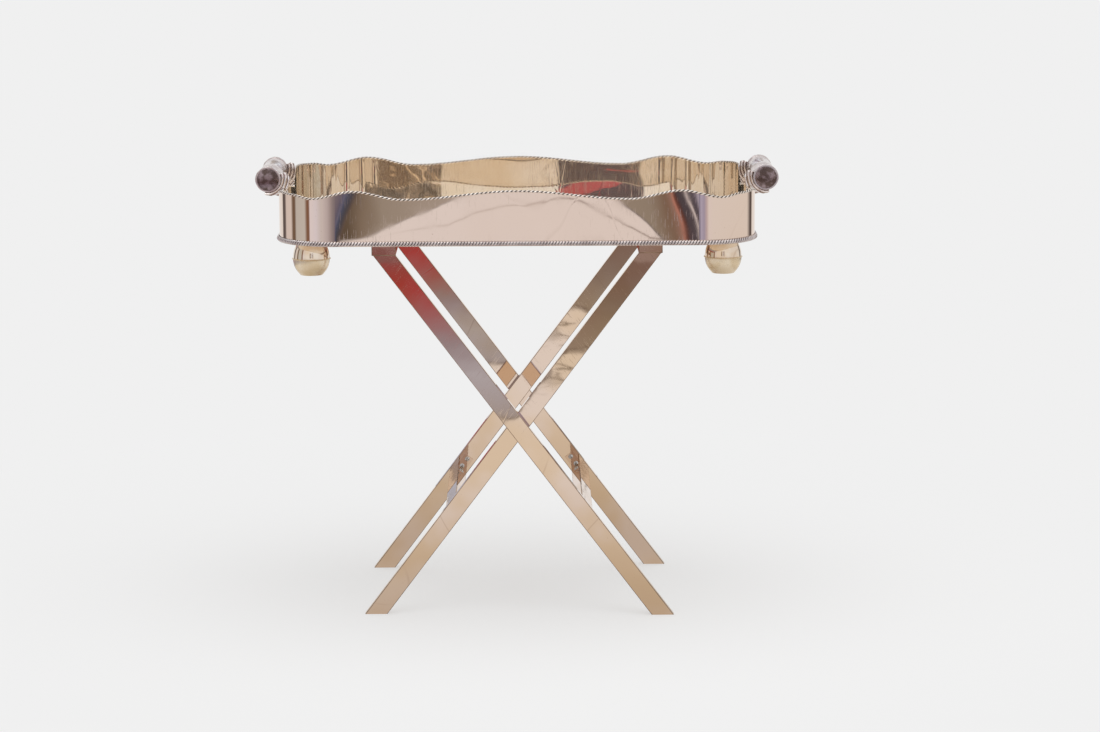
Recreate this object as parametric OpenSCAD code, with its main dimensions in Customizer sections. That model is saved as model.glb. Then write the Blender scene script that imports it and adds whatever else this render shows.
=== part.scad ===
// Brass tray table: a serpentine-edged gallery tray with roller handles and ball feet,
// laid on a folding X stand of rectangular brass tube. Millimetres, +Z up.
// The origin is on the floor, under the middle of the table. X runs along the tray.
// The outer frame leans from top left to bottom right, the inner frame is its mirror image.

/* [Stand] */
// Depth over the outer frame's legs
stand_depth = 390; // [340:5:420]
// Lean of the legs from the floor
leg_angle = 53; // [50:0.5:56]
// Height of the pivots above the floor
pivot_height = 321; // [300:1:340]
// Height at which the legs meet the rails
leg_top = 613; // [580:1:640]
// Face width of the leg tube
leg_width = 30; // [26:1:34]
// Depth of the leg tube, front to back
leg_depth = 15; // [12:1:18]
// Wall of every tube in the stand
tube_wall = 1.5; // [1:0.1:2]
// Width of a top rail
rail_width = 40; // [36:1:46]
// Height of a top rail
rail_height = 25; // [20:1:30]
// Distance down the leg from the pivot to the stretcher
stretcher_start = 176; // [160:1:200]
// Size of the stretcher along the leg
stretcher_width = 30; // [24:1:32]
// Size of the stretcher across the leg
stretcher_depth = 18; // [14:1:20]

/* [Pivots] */
// Gap between an outer and an inner leg
pivot_gap = 1.5; // [1.2:0.1:2]
// Radius of the pivot pins
pin_radius = 5; // [4:0.5:6]
// Radial clearance of the pins in their blocks
pin_clearance = 0.05; // [0.02:0.01:0.1]

/* [Tray] */
// Length of the gallery wall, outside
tray_length = 788; // [760:1:800]
// Width of the gallery wall, outside
tray_width = 540; // [520:1:560]
// Radius of the tray's corners, outside
corner_radius = 95; // [85:1:100]
// Thickness of the brass sheet
sheet = 1.2; // [1:0.1:2]
// Height of the rim's crests above the underside
crest_height = 92; // [88:1:100]
// Height of the half-round rope moulding
rope_height = 9; // [7:0.5:11]
// Diameter of the twisted rim wire
rim_wire_size = 4.4; // [3:0.1:5]

/* [Handles] */
// Distance from the tray's middle to a roller's axis
grip_offset = 419; // [418:0.5:422]
// Height of the roller's axis above the tray's underside
grip_height = 90; // [89:0.5:92]
// Radius of the roller
grip_radius = 20; // [18:0.5:21]
// Length of the roller between its collars
barrel_length = 151; // [140:1:160]

/* [Ball feet] */
// Distance from the tray's middle to a foot, along X
foot_x = 340; // [330:1:345]
// Distance from the tray's middle to a foot, along Y
foot_y = 205; // [195:1:210]
// Radius of the ball at its seam
foot_radius = 30.5; // [28:0.5:32]
// Height of the lower half of the ball
bowl_height = 27; // [24:1:29]
// Height of a ball's underside above the floor
ball_bottom = 584; // [582:1:588]

/* [Hidden] */
$fn = 96;

brass = "#c9b08f";
rosy_brass = "#cdb5a4";
silvered = "#cfc6c1";
dark_plug = "#3a3532";
front = -1;
back = 1;
left = -1;
right = 1;
sides = [-1, 1];

// A cutting shape runs past the face that it cuts by over, and fit_gap is the play round a small shank.
over = 1;
fit_gap = 0.05;

outer_leg_y = (stand_depth - leg_depth) / 2;
inner_leg_y = outer_leg_y - leg_depth - pivot_gap;
leg_cut = leg_width / 2 / sin(leg_angle);
rail_x = (leg_top - pivot_height) / tan(leg_angle) - leg_cut + rail_width / 2;
underside = leg_top + rail_height;
plug_depth = 12;
cap_thickness = 2;
block_half = 18;
block_depth = leg_depth - 2 * tube_wall;
bore_depth = 10;
pin_end_gap = 0.2;
washer_radius = 12;
washer_play = 0.05;

// Seen along the stretcher, the underside of the leg is at -leg_width / 2.
stretcher_top = stretcher_depth - leg_width / 2;
bracket_length = 28;
bracket_width = 18;
bracket_sheet = 1.5;
flange_length = 25;
flange_width = stretcher_top + bracket_width / 2;
flange_middle = stretcher_top - flange_width / 2;
screw_radius = 1.5;
screw_head = 4.4;
screw_head_height = 2.2;
screw_reach = 5;
leg_screws = [stretcher_start - 22.5, stretcher_start - 7];
flange_screws = [10, 19.5];

half_length = tray_length / 2;
half_width = tray_width / 2;
// Rim height above the underside at distances from the tray's middle, along X then along Y.
rim_long = [[0, 92], [185, 78.5], [268, 92], [337, 80], [368, 84.5]];
rim_end = [[0, 77], [150, 77], [212, 86], [244, 84.5], [270, 84.5]];
rim_step = 8;
rim_switch = 365;
end_slab = 40;
wire_ring_step = 6;
rope_reach = 4.8;

cap_radius = 18;
cap_head = 3;
collar_radius = 21.5;
collar_length = 8;
grip_wall = 3.5;
rod_radius = 4;
spigot_length = 18;

// The leaf's saddle sits astride the rim, measured from the wall's outer face and from the rim's top.
leaf_length = 9;
leaf_thickness = 4.5;
saddle_inside = 7;
saddle_outside = 5;
saddle_drop = 18;
saddle_rise = 8;
inner_curl = [-3, 5];
outer_curl = [2, 5.2];
cradle_wedge = [[0, 0], [-60, 12], [-60, -60], [8, -60]];
rivet_radius = 1.5;
rivet_head = 2.6;
rivet_head_height = 1;
rivet_drops = [8, 16];

dome_height = underside - ball_bottom - bowl_height;
bowl_floor_radius = 18.5;
dome_top_radius = 23;
ball_wall = 1.5;
seam_reach = 1.5;
seam_height = 2.4;
bolt_radius = 3;
bolt_head = 5;
bolt_sink = 1.1;
nut_radius = 7;
nut_height = 8;

cleat_length = 25;
cleat_drop = 12;
cleat_reach = 14;
cleat_gap = 0.4;
cleat_y = 140;

// The rounded rectangle that the rim wire follows, in runs of a quarter of its length.
wire_line = corner_radius - sheet / 2;
side_run = half_length - corner_radius;
end_run = half_width - corner_radius;
arc_run = wire_line * PI / 2;
quarter = side_run + arc_run + end_run;
quarter_steps = round(quarter / wire_ring_step / 2);

barrel_half = barrel_length / 2;
collar_end = barrel_half + collar_length;
wall_u = half_length - grip_offset;

// ---------- helpers ----------

function ease(t) = (1 - cos(180 * t)) / 2;

// Height at distance d on a list of [distance, height] points joined by smooth waves.
function wave(points, d) =
    let (i = max([for (k = [0 : len(points) - 2]) if (d >= points[k][0]) k]))
    let (a = points[i], b = points[i + 1])
    a[1] + (b[1] - a[1]) * ease(min(1, (d - a[0]) / (b[0] - a[0])));

function rim_height(x, y) =
    abs(x) < rim_switch ? wave(rim_long, abs(x)) : wave(rim_end, abs(y));

module on_leg() {
    translate([0, 0, pivot_height]) rotate([0, leg_angle, 0]) children();
}

// A bar that leans like the outer legs, cut level at its two heights.
module leaning_bar(width, depth, low, high) {
    cut = width / 2 / sin(leg_angle);
    x_low = (pivot_height - low) / tan(leg_angle);
    x_high = (pivot_height - high) / tan(leg_angle);
    rotate([90, 0, 0])
        linear_extrude(depth, center = true)
            polygon([
                [x_low - cut, low], [x_low + cut, low],
                [x_high + cut, high], [x_high - cut, high]
            ]);
}

module y_bar(radius, start, end) {
    translate([0, min(start, end), 0])
        rotate([-90, 0, 0]) cylinder(r = radius, h = abs(end - start));
}

// ---------- folding stand ----------

// leg_y is the distance of the leg from the middle. pin_side is +1 where the pin enters
// from the outside (inner legs) and -1 where it enters from the inside (outer legs).
module leg(end, leg_y, pin_side) {
    inner_face = leg_y - leg_depth / 2;
    difference() {
        translate([0, end * leg_y, 0]) leaning_bar(leg_width, leg_depth, 0, leg_top);
        translate([0, end * leg_y, 0])
            leaning_bar(leg_width - 2 * tube_wall, block_depth, -over, leg_top + over);
        translate([0, end * (leg_y + pin_side * leg_depth / 2), pivot_height])
            y_bar(pin_radius + pin_clearance, -tube_wall - over, tube_wall + over);
        on_leg()
            for (down = leg_screws)
                translate([down, 0, 0])
                    y_bar(screw_radius + fit_gap,
                        end * (inner_face - over), end * (inner_face + tube_wall + over));
    }
}

module pivot_block(end, leg_y, pin_side) {
    mouth = leg_y + pin_side * block_depth / 2;
    difference() {
        translate([0, end * leg_y, 0])
            leaning_bar(leg_width - 2 * tube_wall, block_depth,
                pivot_height - block_half, pivot_height + block_half);
        translate([0, 0, pivot_height])
            y_bar(pin_radius + pin_clearance,
                end * (mouth + pin_side), end * (mouth - pin_side * bore_depth));
    }
}

module foot_plugs(leg_y) {
    for (end = sides)
        translate([0, end * leg_y, 0])
            leaning_bar(leg_width - 2 * tube_wall, block_depth, 0, plug_depth);
}

module rail(length) {
    translate([-rail_x, 0, leg_top + rail_height / 2])
        difference() {
            cube([rail_width, length, rail_height], center = true);
            cube([rail_width - 2 * tube_wall, length + 2 * over,
                rail_height - 2 * tube_wall], center = true);
        }
}

module rail_caps(length) {
    for (end = sides)
        translate([-rail_x, end * (length - cap_thickness) / 2, leg_top + rail_height / 2])
            cube([rail_width - 2 * tube_wall, cap_thickness, rail_height - 2 * tube_wall], center = true);
}

module stretcher(leg_y) {
    length = 2 * leg_y - leg_depth;
    on_leg()
        translate([stretcher_start + stretcher_width / 2, 0, (stretcher_depth - leg_width) / 2])
            difference() {
                cube([stretcher_width, length, stretcher_depth], center = true);
                cube([stretcher_width - 2 * tube_wall, length + 2 * over,
                    stretcher_depth - 2 * tube_wall], center = true);
                for (end = sides)
                    for (inset = flange_screws)
                        translate([-stretcher_width / 2 - over, end * (length / 2 - inset),
                            flange_middle + (leg_width - stretcher_depth) / 2])
                            rotate([0, 90, 0])
                                cylinder(r = screw_radius + fit_gap, h = tube_wall + 2 * over);
            }
}

// Angle bracket: one plate screwed to the leg's inner face, one lying on the stretcher's end.
module bracket(end, leg_y) {
    face = leg_y - leg_depth / 2;
    plate_start = stretcher_start - bracket_length;
    on_leg()
        difference() {
            union() {
                translate([plate_start, end > 0 ? face - bracket_sheet : -face, -bracket_width / 2])
                    cube([bracket_length, bracket_sheet, bracket_width]);
                translate([stretcher_start - bracket_sheet, end > 0 ? face - flange_length : -face,
                    -bracket_width / 2])
                    cube([bracket_sheet, flange_length, flange_width]);
            }
            for (down = leg_screws)
                translate([down, 0, 0])
                    y_bar(screw_radius + fit_gap, end * (face - bracket_sheet - over), end * (face + over));
            for (inset = flange_screws)
                translate([stretcher_start - bracket_sheet - over, end * (face - inset), flange_middle])
                    rotate([0, 90, 0]) cylinder(r = screw_radius + fit_gap, h = bracket_sheet + 2 * over);
        }
}

// Round-headed screw along +Z with its head's flat side at z = 0.
module screw() {
    dome = (pow(screw_head, 2) + pow(screw_head_height, 2)) / (2 * screw_head_height);
    translate([0, 0, -screw_reach]) cylinder(r = screw_radius, h = screw_reach);
    intersection() {
        translate([0, 0, screw_head_height - dome]) sphere(r = dome);
        cylinder(r = 2 * screw_head, h = screw_head_height + over);
    }
}

module bracket_screws(leg_y) {
    face = leg_y - leg_depth / 2;
    on_leg()
        for (end = sides) {
            for (down = leg_screws)
                translate([down, end * (face - bracket_sheet), 0]) rotate([end * 90, 0, 0]) screw();
            for (inset = flange_screws)
                translate([stretcher_start - bracket_sheet, end * (face - inset), flange_middle])
                    rotate([0, -90, 0]) screw();
        }
}

module pivot_pin(end) {
    deep = outer_leg_y - block_depth / 2 + bore_depth - pin_end_gap;
    shallow = inner_leg_y + block_depth / 2 - bore_depth + pin_end_gap;
    translate([0, 0, pivot_height]) y_bar(pin_radius, end * shallow, end * deep);
}

module pivot_washer(end) {
    outside = outer_leg_y - leg_depth / 2 - washer_play;
    inside = outside - pivot_gap + 2 * washer_play;
    translate([0, 0, pivot_height])
        difference() {
            y_bar(washer_radius, end * inside, end * outside);
            y_bar(pin_radius + pin_clearance, end * (inside - over), end * (outside + over));
        }
}

// ---------- tray ----------

module outline(inset) {
    straight_x = half_length - corner_radius;
    straight_y = half_width - corner_radius;
    square([2 * straight_x, 2 * (half_width - inset)], center = true);
    square([2 * (half_length - inset), 2 * straight_y], center = true);
    for (sx = sides)
        for (sy = sides)
            translate([sx * straight_x, sy * straight_y]) circle(r = corner_radius - inset);
}

// The floor fits inside the wall, which stands round its edge.
module tray_base_sheet() {
    translate([0, 0, underside]) linear_extrude(sheet) outline(sheet);
}

// Everything under the rim line: a prism along Y for the long sides, one along X for the ends.
module rim_envelope() {
    long_half = [for (x = [0 : rim_step : rim_switch]) x];
    end_half = [for (y = [0 : rim_step : half_width + rim_step]) y];
    wire = rim_wire_size / 2;
    rotate([90, 0, 0])
        linear_extrude(tray_width + 2 * over, center = true)
            polygon(concat(
                [[-rim_switch, -over]],
                [[-rim_switch, wave(rim_long, rim_switch) - wire]],
                [for (i = [len(long_half) - 1 : -1 : 1])
                    [-long_half[i], rim_height(long_half[i], 0) - wire]],
                [for (x = long_half) [x, rim_height(x, 0) - wire]],
                [[rim_switch, wave(rim_long, rim_switch) - wire]],
                [[rim_switch, -over]]
            ));
    for (side = sides)
        translate([side * (rim_switch + end_slab / 2), 0, 0])
            rotate([90, 0, 90])
                linear_extrude(end_slab, center = true)
                    polygon(concat(
                        [[-end_half[len(end_half) - 1], -over]],
                        [for (i = [len(end_half) - 1 : -1 : 1])
                            [-end_half[i], rim_height(half_length, end_half[i]) - wire]],
                        [for (y = end_half) [y, rim_height(half_length, y) - wire]],
                        [[end_half[len(end_half) - 1], -over]]
                    ));
}

module gallery_wall() {
    difference() {
        translate([0, 0, underside])
            intersection() {
                linear_extrude(crest_height)
                    difference() {
                        outline(0);
                        outline(sheet);
                    }
                rim_envelope();
            }
        for (side = sides)
            at_handle(side)
                for (end = sides)
                    rivet_holes(end);
    }
}

// A point on the wire's line, at a run from the middle of the front side.
function quarter_point(run) =
    run < side_run ? [run, -end_run - wire_line] :
    run < side_run + arc_run ?
        let (a = (run - side_run) / arc_run * 90)
        [side_run + wire_line * sin(a), -end_run - wire_line * cos(a)] :
    [side_run + wire_line, -end_run + (run - side_run - arc_run)];

quarter_ring = [for (i = [0 : quarter_steps - 1]) quarter_point(quarter * i / quarter_steps)];

// The whole loop, made of four mirrored quarters in walking order.
end_middle = [side_run + wire_line, 0];
rim_loop = concat(
    quarter_ring,
    [end_middle],
    [for (i = [quarter_steps - 1 : -1 : 1]) [quarter_ring[i][0], -quarter_ring[i][1]]],
    [for (i = [0 : quarter_steps - 1]) [-quarter_ring[i][0], -quarter_ring[i][1]]],
    [-end_middle],
    [for (i = [quarter_steps - 1 : -1 : 1]) [-quarter_ring[i][0], quarter_ring[i][1]]]
);
rim_path = [for (p = rim_loop) [p[0], p[1], underside + rim_height(p[0], p[1]) - rim_wire_size / 2]];

module closed_wire(path, radius, sides_around) {
    count = len(path);
    points = [for (i = [0 : count - 1])
        let (ahead = path[(i + 1) % count] - path[(i + count - 1) % count])
        let (across = [ahead[1], -ahead[0], 0] / norm([ahead[0], ahead[1]]))
        let (up = cross(ahead, across) / norm(cross(ahead, across)))
        for (k = [0 : sides_around - 1])
            let (a = 360 * k / sides_around)
            path[i] + radius * (across * cos(a) - up * sin(a))];
    faces = [for (i = [0 : count - 1])
        for (k = [0 : sides_around - 1])
            let (j = (i + 1) % count, m = (k + 1) % sides_around)
            [i * sides_around + k, j * sides_around + k, j * sides_around + m, i * sides_around + m]];
    polyhedron(points, faces);
}

// Section of the half-round moulding, flat against the foot of the wall.
module rope_section() {
    translate([0, rope_height / 2])
        intersection() {
            circle(r = rope_height / 2);
            translate([0, -rope_height]) square([rope_reach, 2 * rope_height]);
        }
}

module rope_moulding() {
    translate([0, 0, underside]) {
        for (sy = sides)
            translate([0, sy * half_width, 0])
                rotate([90, 0, sy * 90])
                    linear_extrude(2 * side_run, center = true) rope_section();
        for (sx = sides)
            translate([sx * half_length, 0, 0])
                rotate([90, 0, sx > 0 ? 0 : 180])
                    linear_extrude(2 * end_run, center = true) rope_section();
        for (sx = sides)
            for (sy = sides)
                translate([sx * side_run, sy * end_run, 0])
                    rotate([0, 0, sx > 0 ? (sy > 0 ? 0 : 270) : (sy > 0 ? 90 : 180)])
                        rotate_extrude(angle = 90)
                            translate([corner_radius, 0]) rope_section();
    }
}

// Four angles under the tray that lie just outside the rails and stop the stand spreading.
module cleats() {
    for (sx = sides)
        for (sy = sides)
            translate([0, sy * cleat_y, underside])
                mirror([sx > 0 ? 0 : 1, 0, 0])
                    translate([rail_x + rail_width / 2 + cleat_gap, -cleat_length / 2, 0]) {
                        translate([0, 0, -cleat_drop]) cube([sheet, cleat_length, cleat_drop]);
                        translate([0, 0, -sheet]) cube([cleat_reach, cleat_length, sheet]);
                    }
}

// ---------- ball feet ----------

module at_foot(sx, sy) {
    translate([sx * foot_x, sy * foot_y, underside - dome_height]) children();
}

// Radius of the arc that bulges from the seam to a smaller radius at a given height.
function bulge(small, height) =
    (pow(foot_radius - small, 2) + height * height) / (2 * (foot_radius - small));

module ball_section(small, height, inset) {
    r = bulge(small, height);
    intersection() {
        translate([foot_radius - r, 0]) circle(r = r - inset);
        translate([0, -over]) square([foot_radius, height + over]);
    }
}

module foot_dome() {
    rotate_extrude()
        intersection() {
            difference() {
                ball_section(dome_top_radius, dome_height, 0);
                ball_section(dome_top_radius, dome_height + over, ball_wall);
            }
            square([foot_radius, dome_height]);
        }
}

module foot_bowl() {
    difference() {
        mirror([0, 0, 1])
            rotate_extrude()
                intersection() {
                    difference() {
                        ball_section(bowl_floor_radius, bowl_height, 0);
                        intersection() {
                            ball_section(bowl_floor_radius, bowl_height, ball_wall);
                            translate([0, -2 * over])
                                square([foot_radius, bowl_height - ball_wall + 2 * over]);
                        }
                    }
                    square([foot_radius, bowl_height]);
                }
        translate([0, 0, -bowl_height - over])
            cylinder(r = bolt_radius + 2 * fit_gap, h = ball_wall + 2 * over);
        translate([0, 0, -bowl_height - fit_gap / 2])
            cylinder(r1 = bolt_head + 2 * fit_gap, r2 = bolt_radius + 2 * fit_gap,
                h = bolt_sink + 2 * fit_gap);
    }
}

module seam_rings() {
    for (sx = sides)
        for (sy = sides)
            at_foot(sx, sy)
                difference() {
                    intersection() {
                        cylinder(r = foot_radius + seam_reach, h = seam_height, center = true);
                        sphere(r = foot_radius + seam_reach + fit_gap);
                    }
                    cylinder(r = foot_radius, h = seam_height + 2 * over, center = true);
                }
}

// Countersunk bolt up through the ball into a nut brazed under the tray.
module foot_bolt_set() {
    for (sx = sides)
        for (sy = sides)
            at_foot(sx, sy)
                translate([0, 0, -bowl_height]) {
                    cylinder(r1 = bolt_head, r2 = bolt_radius, h = bolt_sink);
                    cylinder(r = bolt_radius, h = bowl_height + dome_height - over);
                }
}

module foot_nut_set() {
    for (sx = sides)
        for (sy = sides)
            at_foot(sx, sy)
                translate([0, 0, dome_height - nut_height])
                    difference() {
                        cylinder(r = nut_radius, h = nut_height, $fn = 6);
                        translate([0, 0, -over])
                            cylinder(r = bolt_radius + fit_gap, h = nut_height + over / 2);
                    }
}

// ---------- handles ----------

// Children are drawn on the roller's axis, with +X away from the tray.
module at_handle(side) {
    mirror([side > 0 ? 0 : 1, 0, 0])
        translate([grip_offset, 0, underside + grip_height]) children();
}

module grip_barrel() {
    difference() {
        y_bar(grip_radius, -barrel_half, barrel_half);
        y_bar(grip_radius - grip_wall, -barrel_half - over, barrel_half + over);
    }
}

module grip_collars() {
    for (end = sides)
        difference() {
            y_bar(collar_radius, end * barrel_half, end * collar_end);
            y_bar(grip_radius - grip_wall, end * (barrel_half - over), end * (collar_end + over));
        }
}

module grip_rod() {
    y_bar(rod_radius, -collar_end, collar_end);
}

module grip_cap(end) {
    difference() {
        union() {
            y_bar(cap_radius, end * collar_end, end * (collar_end + cap_head));
            y_bar(grip_radius - grip_wall - 2 * fit_gap,
                end * (collar_end - spigot_length), end * collar_end);
        }
        y_bar(rod_radius + fit_gap, end * (collar_end - spigot_length - over), end * collar_end);
    }
}

// Height of the rim's top at the handle, over the roller's axis.
rim_v = rim_height(half_length, 0) - grip_height;

// Cast leaf seen from the front: a cradle under the collar, a saddle over the rim, a curled tip.
module leaf_outline() {
    difference() {
        union() {
            intersection() {
                circle(r = collar_radius + leaf_thickness);
                polygon(cradle_wedge);
            }
            translate([wall_u - saddle_inside, rim_v - saddle_drop])
                square([saddle_inside + saddle_outside, saddle_drop + saddle_rise]);
            translate([wall_u + inner_curl[0], rim_v + saddle_rise]) circle(r = inner_curl[1]);
            translate([outer_curl[0], -collar_radius - outer_curl[1]]) circle(r = outer_curl[1]);
        }
        circle(r = collar_radius + 2 * fit_gap);
        translate([wall_u - sheet - fit_gap, rim_v - saddle_drop - over])
            square([sheet + 2 * fit_gap, saddle_drop]);
        translate([wall_u - sheet / 2, rim_v - rim_wire_size / 2])
            circle(r = rim_wire_size / 2 + 3 * fit_gap);
    }
}

module leaf(end) {
    difference() {
        translate([0, end * (collar_end - leaf_length / 2), 0])
            rotate([90, 0, 0]) linear_extrude(leaf_length, center = true) leaf_outline();
        rivet_holes(end);
    }
}

// Children are drawn along +Z, from the inside of the saddle outwards, once for each rivet.
module at_rivets(end) {
    for (drop = rivet_drops)
        translate([wall_u - saddle_inside, end * (collar_end - leaf_length / 2), rim_v - drop])
            rotate([0, 90, 0]) children();
}

module rivet_holes(end) {
    at_rivets(end)
        translate([0, 0, -over])
            cylinder(r = rivet_radius + fit_gap, h = saddle_inside + saddle_outside + 2 * over);
}

module rivets_at(end) {
    grip = saddle_inside + saddle_outside;
    at_rivets(end) {
        cylinder(r = rivet_radius, h = grip);
        translate([0, 0, -rivet_head_height]) cylinder(r = rivet_head, h = rivet_head_height);
        translate([0, 0, grip]) cylinder(r = rivet_head, h = rivet_head_height);
    }
}

// ---------- the pieces ----------

module outer(part_color) { color(part_color) children(); }
module inner(part_color) { color(part_color) mirror([1, 0, 0]) children(); }

outer_length = stand_depth;
inner_length = 2 * inner_leg_y + leg_depth;

color(silvered) pivot_pin(front);  // pivot_pin_front
color(silvered) pivot_pin(back);  // pivot_pin_back
color(dark_plug) pivot_washer(front);  // pivot_washer_front
color(dark_plug) pivot_washer(back);  // pivot_washer_back

outer(rosy_brass) leg(front, outer_leg_y, -1);  // outer_leg_front
outer(rosy_brass) leg(back, outer_leg_y, -1);  // outer_leg_back
outer(brass) rail(outer_length);  // outer_rail
outer(brass) stretcher(outer_leg_y);  // outer_stretcher
outer(brass) pivot_block(front, outer_leg_y, -1);  // outer_pivot_block_front
outer(brass) pivot_block(back, outer_leg_y, -1);  // outer_pivot_block_back
outer(brass) rail_caps(outer_length);  // outer_rail_caps
outer(dark_plug) foot_plugs(outer_leg_y);  // outer_foot_plugs
outer(silvered) bracket(front, outer_leg_y);  // outer_bracket_front
outer(silvered) bracket(back, outer_leg_y);  // outer_bracket_back
outer(silvered) bracket_screws(outer_leg_y);  // outer_bracket_screws

inner(rosy_brass) leg(front, inner_leg_y, 1);  // inner_leg_front
inner(rosy_brass) leg(back, inner_leg_y, 1);  // inner_leg_back
inner(brass) rail(inner_length);  // inner_rail
inner(brass) stretcher(inner_leg_y);  // inner_stretcher
inner(brass) pivot_block(front, inner_leg_y, 1);  // inner_pivot_block_front
inner(brass) pivot_block(back, inner_leg_y, 1);  // inner_pivot_block_back
inner(brass) rail_caps(inner_length);  // inner_rail_caps
inner(dark_plug) foot_plugs(inner_leg_y);  // inner_foot_plugs
inner(silvered) bracket(front, inner_leg_y);  // inner_bracket_front
inner(silvered) bracket(back, inner_leg_y);  // inner_bracket_back
inner(silvered) bracket_screws(inner_leg_y);  // inner_bracket_screws

color(brass) tray_base_sheet();  // tray_base
color(rosy_brass) gallery_wall();  // tray_wall
color(silvered) closed_wire(rim_path, rim_wire_size / 2, 8);  // rim_wire
color(silvered) rope_moulding();  // base_rope
color(brass) cleats();  // rail_cleats

color(rosy_brass) at_foot(left, front) foot_dome();  // foot_dome_left_front
color(rosy_brass) at_foot(left, back) foot_dome();  // foot_dome_left_back
color(rosy_brass) at_foot(right, front) foot_dome();  // foot_dome_right_front
color(rosy_brass) at_foot(right, back) foot_dome();  // foot_dome_right_back
color(brass) at_foot(left, front) foot_bowl();  // foot_bowl_left_front
color(brass) at_foot(left, back) foot_bowl();  // foot_bowl_left_back
color(brass) at_foot(right, front) foot_bowl();  // foot_bowl_right_front
color(brass) at_foot(right, back) foot_bowl();  // foot_bowl_right_back
color(brass) seam_rings();  // foot_seam_rings
color(silvered) foot_bolt_set();  // foot_bolts
color(silvered) foot_nut_set();  // foot_nuts

color(silvered) at_handle(left) grip_barrel();  // grip_left
color(silvered) at_handle(right) grip_barrel();  // grip_right
color(silvered) at_handle(left) grip_rod();  // grip_rod_left
color(silvered) at_handle(right) grip_rod();  // grip_rod_right
color(silvered) at_handle(left) grip_collars();  // grip_collars_left
color(silvered) at_handle(right) grip_collars();  // grip_collars_right
color(silvered) at_handle(left) grip_cap(front);  // grip_cap_left_front
color(silvered) at_handle(left) grip_cap(back);  // grip_cap_left_back
color(silvered) at_handle(right) grip_cap(front);  // grip_cap_right_front
color(silvered) at_handle(right) grip_cap(back);  // grip_cap_right_back
color(silvered) at_handle(left) leaf(front);  // handle_leaf_left_front
color(silvered) at_handle(left) leaf(back);  // handle_leaf_left_back
color(silvered) at_handle(right) leaf(front);  // handle_leaf_right_front
color(silvered) at_handle(right) leaf(back);  // handle_leaf_right_back
color(silvered) for (side = sides) for (end = sides) at_handle(side) rivets_at(end);  // handle_rivets
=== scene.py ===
import math
import bmesh
import bpy
from mathutils import Matrix, Vector, noise


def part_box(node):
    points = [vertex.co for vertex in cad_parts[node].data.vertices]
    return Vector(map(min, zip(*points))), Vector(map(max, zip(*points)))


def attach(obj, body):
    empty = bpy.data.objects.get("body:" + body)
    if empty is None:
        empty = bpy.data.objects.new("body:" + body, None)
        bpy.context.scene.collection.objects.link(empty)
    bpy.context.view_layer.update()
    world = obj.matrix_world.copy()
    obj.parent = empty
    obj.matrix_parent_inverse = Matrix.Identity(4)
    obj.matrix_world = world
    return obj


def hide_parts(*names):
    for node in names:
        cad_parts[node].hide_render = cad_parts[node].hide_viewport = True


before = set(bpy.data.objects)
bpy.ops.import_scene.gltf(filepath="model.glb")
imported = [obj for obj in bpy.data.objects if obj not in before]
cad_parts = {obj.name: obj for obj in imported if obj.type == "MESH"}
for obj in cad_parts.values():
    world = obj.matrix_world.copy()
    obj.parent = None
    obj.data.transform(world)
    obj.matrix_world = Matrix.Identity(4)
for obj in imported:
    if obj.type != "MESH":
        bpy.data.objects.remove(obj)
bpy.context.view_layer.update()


# ---------------------------------------------------------------- leg tubes
# Four legs of rectangular brass tube with rounded edges, cut level at both ends.
# The outer pair leans from top left to bottom right and the inner pair crosses it. They are mirror
# polished, with the faint waves, creases and scratches of thin drawn tube.
class Field:
    """A number, colour or vector that varies over a surface, and can be reckoned with."""

    def __init__(self, finish, socket):
        self.finish = finish
        self.socket = socket

    def __add__(self, other):
        return self.finish.maths("ADD", self, other)

    def __sub__(self, other):
        return self.finish.maths("SUBTRACT", self, other)

    def __rsub__(self, other):
        return self.finish.maths("SUBTRACT", other, self)

    def __mul__(self, other):
        return self.finish.maths("MULTIPLY", self, other)

    def __truediv__(self, other):
        return self.finish.maths("DIVIDE", self, other)

    def __abs__(self):
        return self.finish.maths("ABSOLUTE", self, 0.0)

    __radd__ = __add__
    __rmul__ = __mul__


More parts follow.
